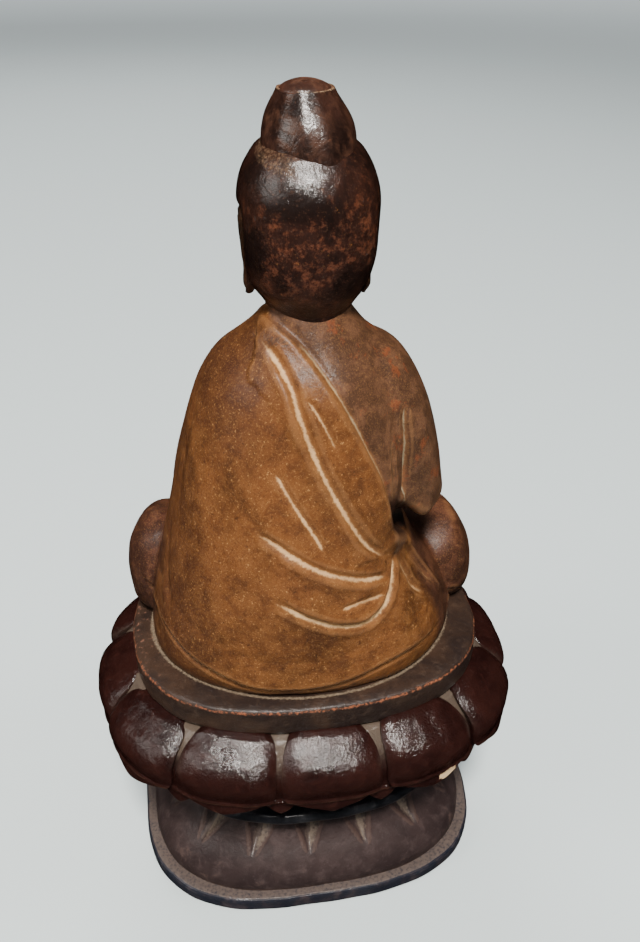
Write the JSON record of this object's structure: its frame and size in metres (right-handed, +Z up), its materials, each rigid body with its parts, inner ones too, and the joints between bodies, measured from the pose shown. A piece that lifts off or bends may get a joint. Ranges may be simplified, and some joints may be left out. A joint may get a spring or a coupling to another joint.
{
  "type": "buddha statue",
  "caption": "Seated robed buddha in carved, lacquered wood on a lotus throne with two rows of petals, over a low fluted oval pedestal.",
  "frame": {"origin": "middle of the pedestal's oval footprint, on the surface it stands on", "axes": "+Z up; -Y the way the figure faces, so +Y is its back and the side the picture shows; +X the figure's own left"},
  "size_m": [0.1533, 0.1236, 0.28],
  "materials": {
    "pedestal_lacquer": "black lacquer worn to dull purple-grey, pale dust in the grooves",
    "throne_lacquer": "dark lacquer, rim worn to orange red",
    "petal_lacquer": "glossy maroon-black lacquer, wrinkled, tips chipped to the pale ground",
    "bare_wood": "bare conifer wood",
    "hair_and_skin_lacquer": "black-brown lacquer worn to rust red, traces of gilding",
    "jewel_paint": "red-orange paint, worn",
    "hand_lacquer": "brown lacquer with worn gilding",
    "robe_lacquer": "bronze-brown lacquer with specks of old gilding, pale in the carved folds"
  },
  "bodies": {
    "pedestal": {"foot_board": "pedestal_lacquer", "fluted_block": "pedestal_lacquer", "waist_board": "pedestal_lacquer", "throne_spigot": "bare_wood", "pedestal_dowels": "bare_wood"},
    "throne": {"lotus_core": "throne_lacquer", "seat_board": "throne_lacquer", "petal_pegs": "bare_wood", "figure_pegs": "bare_wood", "lower_petal_01": "petal_lacquer", "lower_petal_02": "petal_lacquer", "lower_petal_03": "petal_lacquer", "lower_petal_04": "petal_lacquer", "lower_petal_05": "petal_lacquer", "lower_petal_06": "petal_lacquer", "lower_petal_07": "petal_lacquer", "lower_petal_08": "petal_lacquer", "lower_petal_09": "petal_lacquer", "lower_petal_10": "petal_lacquer", "lower_petal_11": "petal_lacquer", "lower_petal_12": "petal_lacquer", "upper_petal_01": "petal_lacquer", "upper_petal_02": "petal_lacquer", "upper_petal_03": "petal_lacquer", "upper_petal_04": "petal_lacquer", "upper_petal_05": "petal_lacquer", "upper_petal_06": "petal_lacquer", "upper_petal_07": "petal_lacquer", "upper_petal_08": "petal_lacquer", "upper_petal_09": "petal_lacquer", "upper_petal_10": "petal_lacquer", "upper_petal_11": "petal_lacquer", "upper_petal_12": "petal_lacquer"},
    "figure": {"block_dowels": "bare_wood", "cavity_plug": "bare_wood", "head": "hair_and_skin_lacquer", "lap_block": "robe_lacquer", "left_forearm": "robe_lacquer", "left_hand": "hand_lacquer", "left_side_block": "robe_lacquer", "right_arm_block": "robe_lacquer", "right_forearm": "robe_lacquer", "right_hand": "hand_lacquer", "right_hip_block": "robe_lacquer", "topknot": "hair_and_skin_lacquer", "topknot_jewel": "jewel_paint", "topknot_peg": "bare_wood", "torso_block": "robe_lacquer"}
  },
  "joints": [
    {"name": "throne_lift", "type": "slide", "parent": "pedestal", "child": "throne", "axis": [0, 0, 1], "range_m": [0, 0.05]},
    {"name": "figure_lift", "type": "slide", "parent": "throne", "child": "figure", "axis": [0, 0, 1], "range_m": [0, 0.04]}
  ]
}
